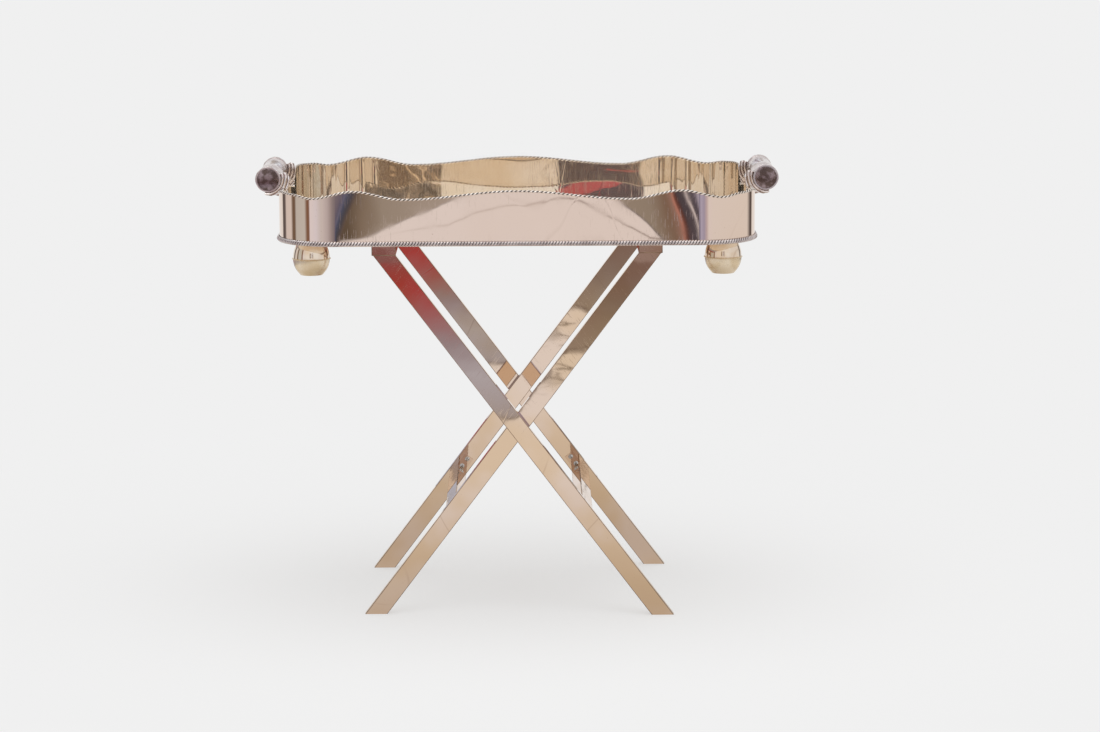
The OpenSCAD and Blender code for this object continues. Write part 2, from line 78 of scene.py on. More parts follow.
class Finish:
    """One procedural finish: its material, and the nodes of its pattern."""

    def __init__(self, name, constants=None):
        self.material = bpy.data.materials.new(name)
        self.material.use_nodes = True
        self.tree = self.material.node_tree
        self.surface = self.tree.nodes["Principled BSDF"]
        for socket, value in (constants or {}).items():
            self.surface.inputs[socket].default_value = value

    def node(self, kind, settings, sockets, output=0):
        made = self.tree.nodes.new(kind)
        for key, value in settings.items():
            if key == "stops":
                ramp = made.color_ramp
                while len(ramp.elements) < len(value):
                    ramp.elements.new(1.0)
                for element, (place, colour) in zip(ramp.elements, value):
                    element.position = place
                    element.color = (*colour, 1.0)
            else:
                setattr(made, key, value)
        for key, value in sockets.items():
            if isinstance(value, Field):
                self.tree.links.new(value.socket, made.inputs[key])
            else:
                made.inputs[key].default_value = value
        return Field(self, made.outputs[output])

    def maths(self, operation, first, second):
        return self.node("ShaderNodeMath", {"operation": operation}, {0: first, 1: second})

    def between(self, value, low, high):
        """0 below low, 1 above high, and a smooth step from one to the other."""
        return self.node("ShaderNodeMapRange", {"interpolation_type": "SMOOTHSTEP"},
                         {"Value": value, "From Min": low, "From Max": high})

    def line(self, value, at, width):
        """1 where the value is at a level, fading to 0 at width to either side."""
        return 1.0 - self.between(abs(value - at), 0.0, width)

    def blend(self, factor, first, second):
        """Colours, from the first at 0 to the second at 1."""
        colours = [c if isinstance(c, Field) else (*c, 1.0) for c in (first, second)]
        return self.node("ShaderNodeMix", {"data_type": "RGBA"},
                         {0: factor, 6: colours[0], 7: colours[1]}, 2)

    def place(self, stretch=(1, 1, 1), turn=(0, 0, 0)):
        """Where a point is on the table, turned, then stretched along each axis."""
        where = self.node("ShaderNodeTexCoord", {}, {}, "Object")
        turned = self.node("ShaderNodeMapping", {}, {"Vector": where, "Rotation": turn})
        return self.node("ShaderNodeVectorMath", {"operation": "MULTIPLY"}, {0: turned, 1: stretch})

    def cloud(self, scale, detail=2.0, stretch=(1, 1, 1), turn=(0, 0, 0)):
        return self.node("ShaderNodeTexNoise", {},
                         {"Vector": self.place(stretch, turn), "Scale": scale, "Detail": detail})

    def specks(self, scale, size):
        """Small round marks, in only some of the places where they could be."""
        spots = self.node("ShaderNodeTexVoronoi", {}, {"Vector": self.place(), "Scale": scale})
        return (1.0 - self.between(spots, size, 2 * size)) * self.between(self.cloud(scale / 4), 0.5, 0.6)

    def bump(self, height, distance, normal=None):
        sockets = {"Height": height, "Distance": distance, "Strength": 1.0}
        if normal:
            sockets["Normal"] = normal
        return self.node("ShaderNodeBump", {}, sockets)

    def put(self, socket, field):
        self.tree.links.new(field.socket, self.surface.inputs[socket])


ROSY = (0.79, 0.64, 0.54)
TAN = (0.74, 0.56, 0.40)
BROWN = (0.30, 0.17, 0.11)


def brass(name, pale, deep, roughness, turn=0.0, wave=0.0002, crease=0.5, marks=0.5, patch=7.0):
    """Polished brass. turn leans its drawing lines, wave is the height of its slow waves in metres."""
    finish = Finish(name, {"Metallic": 1.0})
    lean = (0, turn, 0)
    patches = finish.between(finish.cloud(patch, 3.0), 0.40, 0.62)
    slow = finish.cloud(15.0, 1.5, (1, 1, 0.4), lean)
    contour = finish.cloud(4.0, 1.5, (1, 1, 0.5), lean)
    creases = finish.line(contour, 0.52, 0.0035) * finish.between(finish.cloud(5.0), 0.42, 0.5) * crease
    scratches = finish.between(finish.cloud(1.0, 1.0, (1100, 1100, 30), lean), 0.66, 0.74)
    pits = finish.specks(130.0, 0.05) * marks
    smudges = finish.between(finish.cloud(24.0, 4.0), 0.45, 0.75)
    colour = finish.blend(patches, pale, deep)
    colour = finish.blend(creases * 0.45, colour, BROWN)
    colour = finish.blend(pits * 0.7, colour, BROWN)
    finish.put("Base Color", colour)
    finish.put("Roughness", roughness + min(0.03, 1.5 * roughness) * smudges + 0.08 * scratches * marks
               + 0.2 * pits)
    normal = finish.bump(slow, wave)
    normal = finish.bump(1.0 - creases, 0.00002, normal)
    normal = finish.bump(1.0 - scratches, 0.000003, normal)
    finish.put("Normal", normal)
    return finish


def finished(name, bm, finish, body, slot, *nodes, second=None):
    """Makes a piece from its mesh, with its finish and its place in the frame."""
    bmesh.ops.recalc_face_normals(bm, faces=bm.faces)
    mesh = bpy.data.meshes.new(name)
    bm.to_mesh(mesh)
    bm.free()
    piece = bpy.data.objects.new(name, mesh)
    bpy.context.collection.objects.link(piece)
    mesh.materials.append(finish.material)
    if second:
        mesh.materials.append(second.material)
    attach(piece, body)
    if nodes:
        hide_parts(*nodes)
    return piece


tube_wall = 0.0015
edge_round = 0.0013


def tube(middle, across, through, run):
    """Rectangular tube. middle is the middle of one end; the three vectors are its sides and length."""
    bm = bmesh.new()
    bmesh.ops.create_grid(bm, x_segments=1, y_segments=1, size=0.5)
    bmesh.ops.scale(bm, vec=(across.length, through.length, 1), verts=bm.verts)
    bmesh.ops.bevel(bm, geom=bm.verts[:], offset=edge_round, segments=4, profile=0.5,
                    affect="VERTICES", material=-1)
    rim = bmesh.ops.inset_individual(bm, faces=bm.faces[:], thickness=tube_wall,
                                     use_even_offset=True)["faces"]
    bmesh.ops.delete(bm, geom=[face for face in bm.faces if face not in rim], context="FACES_ONLY")
    x, y = across.normalized(), through.normalized()
    seat = Matrix((x, y, x.cross(y))).transposed().to_4x4()
    bmesh.ops.transform(bm, matrix=Matrix.Translation(middle) @ seat, verts=bm.verts)
    made = bmesh.ops.extrude_face_region(bm, geom=bm.faces[:])
    far_end = [item for item in made["geom"] if isinstance(item, bmesh.types.BMVert)]
    bmesh.ops.translate(bm, vec=run, verts=far_end)
    for face in bm.faces:
        on_edge = face.calc_area() < edge_round * run.length
        face.smooth = on_edge
        face.material_index = int(on_edge)
    return bm


lean = math.radians(53)
leg_face = 0.030
leg_cut = Vector((leg_face / math.sin(lean), 0, 0))
drawn = math.radians(90) - lean
# The rounded edge strips and end rims of the tubes are a darker brown brass than their faces.
edge_finish = brass("darker edge strips", (0.42, 0.30, 0.22), (0.26, 0.17, 0.12), 0.12, wave=0.0, patch=30.0)

for pair, side in (("outer", 1), ("inner", -1)):
    leg_finish = brass(f"{pair} leg brass", ROSY, TAN, 0.02, turn=-side * drawn)
    for end in ("front", "back"):
        node = f"{pair}_leg_{end}"
        low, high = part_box(node)
        y = (low.y + high.y) / 2
        foot_x, top_x = (high.x, low.x) if side > 0 else (low.x, high.x)
        foot = Vector((foot_x, y, low.z)) - side * leg_cut / 2
        top = Vector((top_x, y, high.z)) + side * leg_cut / 2
        leg = tube(foot, leg_cut, Vector((0, high.y - low.y, 0)), top - foot)
        finished(f"{node}_tube", leg, leg_finish, f"{pair}_frame", "leg_brass", node, second=edge_finish)


# ---------------------------------------------------------------- top rails and stretchers
# A rectangular tube along the top of each pair of legs carries the tray, and a flatter one ties
# the pair together below the pivots. Both are brazed or screwed to the legs.
rail_finish = brass("rail brass", (0.74, 0.58, 0.48), (0.66, 0.47, 0.33), 0.03, wave=0.00015)
down_leg = {side: Vector((side * math.cos(lean), 0, -math.sin(lean))) for side in (1, -1)}

for pair, side in (("outer", 1), ("inner", -1)):
    low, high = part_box(f"{pair}_rail")
    size = high - low
    start = Vector(((low.x + high.x) / 2, low.y, (low.z + high.z) / 2))
    rail = tube(start, Vector((size.x, 0, 0)), Vector((0, 0, size.z)), Vector((0, size.y, 0)))
    finished(f"{pair}_rail_tube", rail, rail_finish, f"{pair}_frame", "rail_brass", f"{pair}_rail",
             second=edge_finish)

    low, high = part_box(f"{pair}_stretcher")
    stretcher_face = 0.030
    stretcher_depth = 0.018
    along = down_leg[side] * stretcher_face
    across = Vector((side * math.sin(lean), 0, math.cos(lean))) * stretcher_depth
    start = Vector(((low.x + high.x) / 2, low.y, (low.z + high.z) / 2))
    stretcher = tube(start, along, across, Vector((0, high.y - low.y, 0)))
    finished(f"{pair}_stretcher_tube", stretcher, rail_finish, f"{pair}_frame", "rail_brass",
             f"{pair}_stretcher", second=edge_finish)


# ---------------------------------------------------------------- brackets, plugs, caps and pivots
# Small brass angles with round-headed screws hold the stretchers. The tubes are stopped with caps
# and black plugs, and the pivot pins and their blocks are hidden inside the legs.
steel = brass("turned steel", (0.62, 0.60, 0.58), (0.52, 0.50, 0.48), 0.22, wave=0.0, crease=0.0)

plastic = Finish("black plastic", {"Metallic": 0.0})
grain = plastic.cloud(900.0, 3.0)
plastic.put("Base Color", plastic.blend(grain, (0.015, 0.014, 0.013), (0.035, 0.032, 0.030)))
plastic.put("Roughness", 0.42 + 0.15 * grain)
plastic.put("Normal", plastic.bump(grain, 0.00005))


def dress(finish, *nodes):
    """Gives kept parts of the frame their finish."""
    for node in nodes:
        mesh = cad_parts[node].data
        mesh.materials.clear()
        mesh.materials.append(finish.material)


for pair in ("outer", "inner"):
    dress(rail_finish, f"{pair}_rail_caps", f"{pair}_bracket_front", f"{pair}_bracket_back",
          f"{pair}_pivot_block_front", f"{pair}_pivot_block_back")
    dress(plastic, f"{pair}_foot_plugs")
dress(steel, "pivot_pin_front", "pivot_pin_back", "foot_bolts", "foot_nuts")
dress(plastic, "pivot_washer_front", "pivot_washer_back")


def turned(rings, middle, axis, steps=48):
    """Turns a profile of (radius, distance along the axis) points round the axis through middle."""
    bm = bmesh.new()
    spoke = axis.orthogonal().normalized()
    points = [bm.verts.new(middle + spoke * radius + axis * along) for radius, along in rings]
    edges = [bm.edges.new(pair) for pair in zip(points, points[1:])]
    bmesh.ops.spin(bm, geom=points + edges, cent=middle, axis=axis, angle=math.tau,
                   steps=steps, use_merge=True)
    bmesh.ops.remove_doubles(bm, verts=bm.verts, dist=1e-6)
    return bm


def soften(bm, sharpest=35):
    """Smooth shading, with an edge left crisp where it is sharper than so many degrees."""
    for face in bm.faces:
        face.smooth = True
    for edge in bm.edges:
        edge.smooth = edge.calc_face_angle(0.0) < math.radians(sharpest)
    return bm


def arc(start, end, bulge, steps):
    """Points from start to end, pushed out by a round bulge."""
    (r0, h0), (r1, h1) = start, end
    length = math.hypot(r1 - r0, h1 - h0)
    out_r, out_h = (h1 - h0) / length, -(r1 - r0) / length
    points = []
    for i in range(steps + 1):
        t = i / steps
        lift = bulge * math.sin(math.pi * t)
        points.append((r0 + (r1 - r0) * t + out_r * lift, h0 + (h1 - h0) * t + out_h * lift))
    return points


def add_part(whole, part):
    """Moves the part's mesh into the whole."""
    mesh = bpy.data.meshes.new("part")
    part.to_mesh(mesh)
    part.free()
    whole.from_mesh(mesh)
    bpy.data.meshes.remove(mesh)


screw_head = 0.0044
screw_rise = 0.0022
slot_half = 0.0008
slot_depth = 0.0011
bracket_sheet = 0.0015
# Distances down the leg from the pivot to the leg screws and to the stretcher, and of the flange
# screws from the bracket's face.
leg_screws = (0.1535, 0.169)
stretcher_start = 0.176
flange_screws = (0.010, 0.0195)
flange_drop = 0.003

for pair, side in (("outer", 1), ("inner", -1)):
    screws = bmesh.new()
    for end in (-1, 1):
        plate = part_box(f"{pair}_bracket_{'front' if end < 0 else 'back'}")
        pivot = Vector((0, 0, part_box("pivot_pin_front")[0].z / 2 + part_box("pivot_pin_front")[1].z / 2))
        face_y = max(abs(plate[0].y), abs(plate[1].y))
        places = [(pivot + down_leg[side] * s + Vector((0, end * (face_y - bracket_sheet), 0)),
                   Vector((0, -end, 0))) for s in leg_screws]
        up = Vector((side * math.sin(lean), 0, math.cos(lean)))
        places += [(pivot + down_leg[side] * (stretcher_start - bracket_sheet) - up * flange_drop
                    + Vector((0, end * (face_y - inset), 0)), -down_leg[side]) for inset in flange_screws]
        for seat, axis in places:
            profile = [(screw_head, -0.0003)] + arc((screw_head, 0.0003), (0.0, screw_rise), 0.0007, 6)
            head = turned(profile, seat, axis, 20)
            slot_axis = axis.orthogonal().normalized()
            slot_axis.rotate(Matrix.Rotation(0.6 + 2.1 * len(screws.verts) % 3, 3, axis))
            for vert in head.verts:
                offset = vert.co - seat
                if abs(offset.dot(slot_axis)) < slot_half and offset.dot(axis) > 0.0009:
                    vert.co -= axis * slot_depth
            add_part(screws, head)
    finished(f"{pair}_bracket_screw_heads", soften(screws), steel, f"{pair}_frame", "steel_hardware",
             f"{pair}_bracket_screws")


# ---------------------------------------------------------------- tray floor and gallery wall
# The floor is a flat sheet, and the wall a strip bent round it, soldered, and cut to a wavy top.
# The wall's sheet is thin and hand polished, so it is nowhere quite flat.
base_finish = brass("tray floor brass", (0.88, 0.80, 0.70), (0.84, 0.74, 0.61), 0.004,
                    wave=0.00004, crease=0.15, marks=0.3)
base_finish.surface.inputs["Metallic"].default_value = 0.96
dress(base_finish, "tray_base")
dress(rail_finish, "rail_cleats")

sheet = 0.0012
corner_radius = 0.095
wall_low, wall_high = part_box("tray_wall")
side_run = wall_high.x - corner_radius
end_run = wall_high.y - corner_radius
underside = wall_low.z

# Heights of the rim over the underside at distances from the tray's middle, joined by smooth waves.
rim_side = ((0, 0.092), (0.185, 0.0785), (0.268, 0.092), (0.337, 0.080), (0.368, 0.0845))
rim_end = ((0, 0.077), (0.150, 0.077), (0.212, 0.086), (0.244, 0.0845), (0.271, 0.0845))
rim_switch = 0.365


def rim_height(x, y):
    points, distance = (rim_side, abs(x)) if abs(x) < rim_switch else (rim_end, abs(y))
    for (d0, h0), (d1, h1) in zip(points, points[1:]):
        if distance <= d1:
            return h0 + (h1 - h0) * (1 - math.cos(math.pi * (distance - d0) / (d1 - d0))) / 2
    return points[-1][1]


def round_the_tray(radius, steps):
    """Even steps round the tray at a distance from the corners' centres: (place, outward) pairs."""
    quarter = math.pi / 2 * radius
    stretches = [(2 * side_run, Vector((1, 0, 0))), (quarter, None), (2 * end_run, Vector((0, 1, 0))),
                 (quarter, None), (2 * side_run, Vector((-1, 0, 0))), (quarter, None),
                 (2 * end_run, Vector((0, -1, 0))), (quarter, None)]
    total = sum(length for length, _ in stretches)
    corners = [Vector((side_run, -end_run, 0)), Vector((side_run, end_run, 0)),
               Vector((-side_run, end_run, 0)), Vector((-side_run, -end_run, 0))]
    for i in range(steps):
        run = total * i / steps
        k = 0
        while run > stretches[k][0]:
            run -= stretches[k][0]
            k += 1
        turn = (k // 2 - 1) * math.pi / 2
        if k % 2 == 0:
            outward = Vector((math.cos(turn), math.sin(turn), 0))
            start = corners[k // 2 - 1]
            yield start + outward * radius + stretches[k][1] * run, outward
        else:
            angle = turn + run / radius
            outward = Vector((math.cos(angle), math.sin(angle), 0))
            yield corners[k // 2] + outward * radius, outward


wall_steps = 800
wall_rows = 12
unevenness = 0.00006
wire_size = 0.0044


def outside(x, y):
    """How far a point is outside the wall's outer face, and the way out."""
    away = Vector((max(abs(x) - side_run, 0) * math.copysign(1, x),
                   max(abs(y) - end_run, 0) * math.copysign(1, y), 0))
    return away.length - corner_radius, away.normalized()


def wall_ring(height, inset):
    """Places round the wall at a share of its height, with the sheet's slow unevenness."""
    for place, outward in round_the_tray(corner_radius, wall_steps):
        top = rim_height(place.x, place.y) - wire_size / 2
        z = underside + top * height
        uneven = noise.noise(Vector((place.x * 14, place.y * 14, z * 9))) * unevenness
        uneven *= math.sin(math.pi * height)
        yield Vector((place.x, place.y, z)) + outward * (uneven - inset)


bm = bmesh.new()
ring = bmesh.ops.create_circle(bm, segments=wall_steps, radius=1)["verts"]
edges = outer_foot = bm.edges[:]
levels = [(row / wall_rows, 0.0) for row in range(wall_rows + 1)]
levels += [(1 - row / wall_rows, sheet) for row in range(wall_rows + 1)]
for index, (height, inset) in enumerate(levels):
    if index:
        made = bmesh.ops.extrude_edge_only(bm, edges=edges)["geom"]
        fresh = {item for item in made if isinstance(item, bmesh.types.BMVert)}
        edges = [item for item in made if isinstance(item, bmesh.types.BMEdge)
                 and item.verts[0] in fresh and item.verts[1] in fresh]
        ring = [next(edge.other_vert(vert) for edge in vert.link_edges if edge.other_vert(vert) in fresh)
                for vert in ring]
    for vert, place in zip(ring, wall_ring(height, inset)):
        vert.co = place
bmesh.ops.bridge_loops(bm, edges=outer_foot + edges)
for face in bm.faces:
    middle = face.calc_center_median()
    face.material_index = int(outside(middle.x, middle.y)[0] < -sheet / 2)
wall_finish = brass("gallery wall brass", ROSY, (0.78, 0.625, 0.52), 0.015, wave=0.00003, crease=0.12,
                    patch=5.0)
# The inner face of the wall is a paler copy of the wall brass: painted light that brightens the inside of
# the tray.
inner_painted_light_finish = brass("inner wall brass", (0.88, 0.80, 0.71), (0.85, 0.75, 0.63), 0.004,
                     wave=0.00003, crease=0.2, marks=0.3, patch=12.0)
inner_painted_light_finish.surface.inputs["Metallic"].default_value = 0.96
finished("gallery_wall", soften(bm), wall_finish, "tray", "wall_brass", "tray_wall", second=inner_painted_light_finish)


# ---------------------------------------------------------------- rim wire and rope moulding
# Silver-plated wires: a twisted pair soldered along the wavy rim, and a half-round rope
# round the foot of the wall, with its strands lying side by side.
silver = brass("silver plate", (0.80, 0.76, 0.73), (0.66, 0.59, 0.54), 0.12, wave=0.0, crease=0.0,
               patch=60.0)


def strand_silver(name, pale, deep, groove_shade, roughness):
    """Silver plate, painted darker deep between its strands, reeds and folds as painted shade."""
    finish = brass(name, pale, deep, roughness, wave=0.0, crease=0.0, patch=60.0)
    groove = finish.node("ShaderNodeAttribute", {"attribute_name": "groove"}, {}, "Fac")
    plated = Field(finish, finish.surface.inputs["Base Color"].links[0].from_socket)
    # Painted shade: the base colour darkens towards the given dark colour where the groove attribute is
    # deep.
    finish.put("Base Color", finish.blend(finish.between(groove, 0.35, 0.75), plated, groove_shade))
    return finish


def wires(routes, thickness, closed):
    """Round wires along their routes, as one mesh."""
    line = bpy.data.curves.new("wires", "CURVE")
    line.dimensions = "3D"
    line.bevel_depth = thickness / 2
    line.bevel_resolution = 2
    line.use_fill_caps = not closed
    for route in routes:
        spline = line.splines.new("POLY")
        spline.points.add(len(route) - 1)
        spline.use_cyclic_u = closed
        for point, place in zip(spline.points, route):
            point.co = (*place, 1)
    line_object = bpy.data.objects.new("wires", line)
    bpy.context.collection.objects.link(line_object)
    bpy.context.view_layer.update()
    mesh = bpy.data.meshes.new_from_object(line_object.evaluated_get(bpy.context.evaluated_depsgraph_get()))
    bm = bmesh.new()
    bm.from_mesh(mesh)
    bmesh.ops.remove_doubles(bm, verts=bm.verts, dist=1e-7)
    bpy.data.objects.remove(line_object)
    bpy.data.meshes.remove(mesh)
    return bm


def mark_grooves(bm, depth):
    """Keeps how deep each point lies between the strands, from 0 at their tops to 1."""
    groove = bm.verts.layers.float.new("groove")
    for vert in bm.verts:
        vert[groove] = min(max(depth(vert.co), 0.0), 1.0)
    return bm


wire_strand = 0.0024
wire_orbit = wire_size / 2 - wire_strand / 2
wire_turns = 178
wire_stations = 12 * wire_turns


def wire_middle(x, y):
    return underside + rim_height(x, y) - wire_size / 2


def wire_route(start):
    """One strand of the twisted pair, which starts at an angle round their common line."""
    for i, (p, outward) in enumerate(round_the_tray(corner_radius - sheet / 2, wire_stations)):
        angle = start + math.tau * wire_turns * i / wire_stations
        middle = Vector((p.x, p.y, wire_middle(p.x, p.y)))
        lift = Vector((0, 0, wire_orbit * math.sin(angle)))
        yield middle + outward * (wire_orbit * math.cos(angle)) + lift


def wire_depth(place):
    off = math.hypot(outside(place.x, place.y)[0] + sheet / 2, place.z - wire_middle(place.x, place.y))
    return 1.0 - (off - 0.3 * wire_size) / (0.2 * wire_size)


wire = wires([list(wire_route(start)) for start in (0, math.pi)], wire_strand, True)
# The twisted strands are painted darker where they meet: painted shade.
wire_finish = strand_silver("rim wire silver", (0.92, 0.86, 0.80), (0.80, 0.71, 0.63),
                            (0.16, 0.11, 0.08), 0.14)
finished("rim_wire_twist", soften(mark_grooves(wire, wire_depth), 60), wire_finish, "tray",
         "trim_silvered", "rim_wire")

rope_low, rope_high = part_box("base_rope")
rope_size = rope_high.z - rope_low.z
rope_middle = (rope_low.z + rope_high.z) / 2
rope_reach = rope_high.y - wall_high.y
rope_strands = 500
rope_strand = 0.0042
rope_orbit = (rope_size - rope_strand) / 2
rope_lead = 0.013
rope_routes = []
for p, outward in round_the_tray(corner_radius, rope_strands):
    onward = Vector((-outward.y, outward.x, 0))
    route = []
    for k in range(9):
        angle = math.pi * (k / 8 - 0.5)
        reach = (rope_reach - rope_strand / 2) * math.cos(angle)
        route.append(Vector((p.x, p.y, rope_middle + rope_orbit * math.sin(angle))) + outward * reach
                     + onward * (rope_lead * angle / math.tau))
    rope_routes.append(route)


def rope_depth(place):
    off = math.hypot(outside(place.x, place.y)[0], place.z - rope_middle)
    return 1.0 - (off - 0.34 * rope_size) / (0.15 * rope_size)


rope = wires(rope_routes, rope_strand, False)
for vert in rope.verts:
    out, way = outside(vert.co.x, vert.co.y)
    if out < 0.0:
        vert.co -= way * out
# The rope is painted nearly black deep between its strands: painted shade.
rope_finish = strand_silver("rope silver", (0.70, 0.63, 0.615), (0.54, 0.47, 0.46),
                            (0.05, 0.035, 0.035), 0.16)
finished("base_rope_twist", soften(mark_grooves(rope, rope_depth), 60), rope_finish, "tray", "trim_silvered",
         "base_rope")


# ---------------------------------------------------------------- ball feet
# Each ball is two spun cups with a seam ring between them, bolted up to the tray. The upper cup is
# mirror bright, the lower one is rubbed satin.
dome_finish = brass("foot dome brass", (0.80, 0.68, 0.56), TAN, 0.06, wave=0.00010, patch=30.0)
bowl_finish = brass("foot bowl brass", (0.78, 0.66, 0.50), (0.70, 0.56, 0.38), 0.24, wave=0.0, crease=0.2,
                    marks=1.0, patch=40.0)
ball_wall = 0.0015
bolt_hole = 0.0052

for across in ("left", "right"):
    for end in ("front", "back"):
        low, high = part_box(f"foot_dome_{across}_{end}")
        middle = Vector(((low.x + high.x) / 2, (low.y + high.y) / 2, low.z))
        seam = (high.x - low.x) / 2
        rise = high.z - low.z
        neck = 0.023
        up = Vector((0, 0, 1))
        profile = arc((seam, 0.0), (neck, rise), 0.0018, 12)
        profile += [(r - ball_wall, h) for r, h in reversed(profile)]
        finished(f"foot_dome_{across}_{end}_cup", soften(turned(profile + profile[:1], middle, up, 64)),
                 dome_finish, "tray", "foot_dome_brass", f"foot_dome_{across}_{end}")
        low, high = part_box(f"foot_bowl_{across}_{end}")
        drop = high.z - low.z
        floor_radius = 0.0185
        outer_line = arc((seam, 0.0), (floor_radius, -drop), -0.0030, 14)
        outer_line += [(floor_radius - 0.002, -drop), (bolt_hole, -drop)]
        inner_line = [(max(r - ball_wall, bolt_hole), h + ball_wall) for r, h in reversed(outer_line[1:])]
        profile = outer_line + inner_line + [(seam - ball_wall, 0.0)]
        finished(f"foot_bowl_{across}_{end}_cup", soften(turned(profile + profile[:1], middle, up, 64)),
                 bowl_finish, "tray", "foot_bowl_brass", f"foot_bowl_{across}_{end}")

rings = bmesh.new()
ring_low, ring_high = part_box("foot_seam_rings")
ring_height = ring_high.z - ring_low.z
for across in ("left", "right"):
    for end in ("front", "back"):
        low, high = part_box(f"foot_dome_{across}_{end}")
        middle = Vector(((low.x + high.x) / 2, (low.y + high.y) / 2, low.z))
        seam = (high.x - low.x) / 2
        reach = ring_high.x - (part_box("foot_dome_right_front")[1].x - seam)
        profile = arc((seam, -ring_height / 2), (seam, ring_height / 2), reach - seam, 8)
        add_part(rings, turned(profile + profile[:1], middle, up, 64))
finished("foot_seam_beads", soften(rings, 60), bowl_finish, "tray", "foot_bowl_brass", "foot_seam_rings")


# ---------------------------------------------------------------- roller handles
# Each handle is a turned and silver-plated barrel with reeds near both ends, a collar at each end,
# and dark polished caps on a rod that runs right through.
grip_finish = strand_silver("grip silver", (0.76, 0.70, 0.68), (0.62, 0.55, 0.54), (0.06, 0.04, 0.04), 0.22)
cap_finish = brass("cap silver", (0.13, 0.09, 0.08), (0.34, 0.26, 0.27), 0.24, wave=0.0, crease=0.3,
                   patch=90.0)
along_y = Vector((0, 1, 0))

for across in ("left", "right"):
    low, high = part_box(f"grip_{across}")
    middle = (low + high) / 2
    radius = (high.z - low.z) / 2
    half = (high.y - low.y) / 2
    reed = 0.0062
    reeds = 6
    reed_depth = 0.0013
    end_line = []
    for i in range(reeds):
        start = half - i * reed
        end_line += [(radius - reed_depth * (1 - math.sin(math.pi * k / 8)), start - reed * k / 8)
                     for k in range(8)]
    end_line += [(radius, half - reeds * reed - 0.001)]
    profile = [(radius - 0.0035, half), (radius - 0.0012, half)] + end_line
    profile += [(r, -h) for r, h in reversed(profile)]
    barrel = turned(profile + profile[:1], middle, along_y, 96)
    # The reeds are painted darker where they are deep: painted shade.
    mark_grooves(barrel, lambda place: (radius - (place - middle).xz.length) / reed_depth)
    finished(f"grip_{across}_barrel", soften(barrel, 50), grip_finish, "tray", "grip_silvered",
             f"grip_{across}")

    collars = bmesh.new()
    low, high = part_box(f"grip_collars_{across}")
    collar_radius = (high.z - low.z) / 2
    collar_end = (high.y - low.y) / 2
    collar_bore = 0.0165
    for way in (-1, 1):
        profile = [(collar_bore, 0.0), (collar_radius - 0.0008, 0.0)]
        profile += [(collar_radius, 0.0008), (collar_radius, 0.0032), (collar_radius - 0.0009, 0.0040)]
        profile += [(collar_radius, 0.0048), (collar_radius, 0.0072), (collar_radius - 0.0008, 0.0080)]
        profile += [(0.0186, 0.0080), (0.0183, 0.0070), (collar_bore, 0.0070)]
        add_part(collars, turned(profile + profile[:1], middle + along_y * way * half, along_y * way, 96))
    finished(f"grip_{across}_collars", soften(collars), grip_finish, "tray", "grip_silvered",
             f"grip_collars_{across}")

    for end, way in (("front", -1), ("back", 1)):
        node = f"grip_cap_{across}_{end}"
        low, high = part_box(node)
        cap_radius = (high.z - low.z) / 2
        head = abs(high.y if way > 0 else low.y) - collar_end
        base = collar_end - half - 0.001
        profile = [(0.0, base), (cap_radius, base), (cap_radius, base + 0.0018)]
        profile += arc((cap_radius - 0.0003, base + 0.0024), (0.0, base + 0.0010 + head), 0.0004, 10)
        cap = turned(profile, middle + along_y * way * half, along_y * way, 96)
        finished(f"{node}_disc", soften(cap), cap_finish, "tray", "cap_dark", node)
    dress(steel, f"grip_rod_{across}")


# ---------------------------------------------------------------- cast leaves
# Four small cast leaves, silver plated and ribbed, carry the rollers. Each one curves round the tray's
# side of a collar, from above the rim to below the roller, and is riveted through the wall.
leaf_finish = strand_silver("leaf silver", (0.92, 0.85, 0.82), (0.74, 0.64, 0.60), (0.30, 0.22, 0.19), 0.20)
# How far the casting reaches from the roller's axis, at angles down from the level on the tray's side.
leaf_edge = [(-24, 0.0300), (-16, 0.0345), (-4, 0.0362), (12, 0.0362), (28, 0.0378), (40, 0.0405),
             (47, 0.0412), (54, 0.0372), (60, 0.0318), (68, 0.0290), (80, 0.0282), (92, 0.0275),
             (104, 0.0262)]
leaf_gap = 0.0001
leaf_fold = 0.0056
fold_depth = 0.0013
scallops_in_turn = 18
scallop_depth = 0.0007
leaf_rows = 72
leaf_columns = 22


def leaf_reach(angle):
    for (a0, r0), (a1, r1) in zip(leaf_edge, leaf_edge[1:]):
        if angle <= a1:
            t = (angle - a0) / (a1 - a0)
            return r0 + (r1 - r0) * t * t * (3 - 2 * t)
    return leaf_edge[-1][1]


